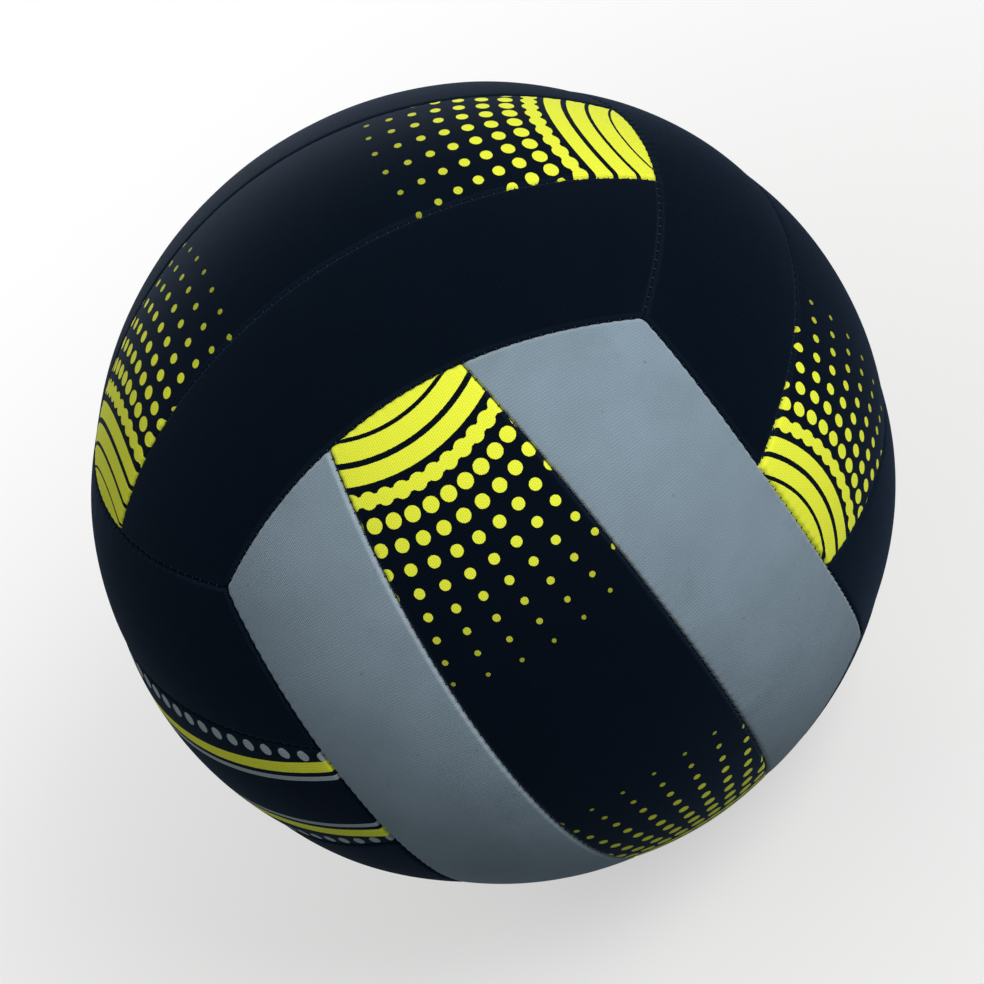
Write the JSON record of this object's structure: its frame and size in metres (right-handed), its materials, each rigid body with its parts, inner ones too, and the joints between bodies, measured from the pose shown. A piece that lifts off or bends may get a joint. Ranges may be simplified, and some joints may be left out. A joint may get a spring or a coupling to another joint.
{
  "type": "pool volleyball",
  "caption": "Inflatable water volleyball: sewn foam-rubber strips laid out like a cube over a rubber bladder with a needle valve.",
  "frame": {"origin": "the ball's centre", "axes": "+Z is the middle of the top three strips, which run along X; -Y is the middle of the front three strips, which run along Z; +X is the middle of the right three strips, which run along Y; the valve is at +Y"},
  "size_m": [0.21, 0.2096, 0.21],
  "materials": {
    "black_knit": "knitted polyester jersey bonded to foam rubber, matte black with a navy cast",
    "grey_knit": "knitted polyester jersey bonded to foam rubber, matte mid grey",
    "printed_knit": "black knitted jersey screen printed at both ends with yellow bands that break up into dots",
    "seam_thread": "bonded nylon sewing thread, satin",
    "bladder_rubber": "dipped butyl rubber, matte",
    "valve_rubber": "moulded soft rubber, matte",
    "patch_cloth": "woven cotton backing cloth"
  },
  "bodies": {
    "root": {"front_left_panel": "grey_knit", "front_middle_panel": "printed_knit", "front_right_panel": "grey_knit", "back_left_panel": "grey_knit", "back_middle_panel": "printed_knit", "back_right_panel": "grey_knit", "top_front_panel": "black_knit", "top_middle_panel": "printed_knit", "top_back_panel": "black_knit", "bottom_front_panel": "black_knit", "bottom_middle_panel": "printed_knit", "bottom_back_panel": "black_knit", "right_upper_panel": "black_knit", "right_middle_panel": "printed_knit", "right_lower_panel": "black_knit", "left_upper_panel": "black_knit", "left_middle_panel": "printed_knit", "left_lower_panel": "black_knit", "bladder": "bladder_rubber", "valve_boss": "valve_rubber", "valve_plug": "valve_rubber", "valve_patch": "patch_cloth"}
  },
  "joints": []
}
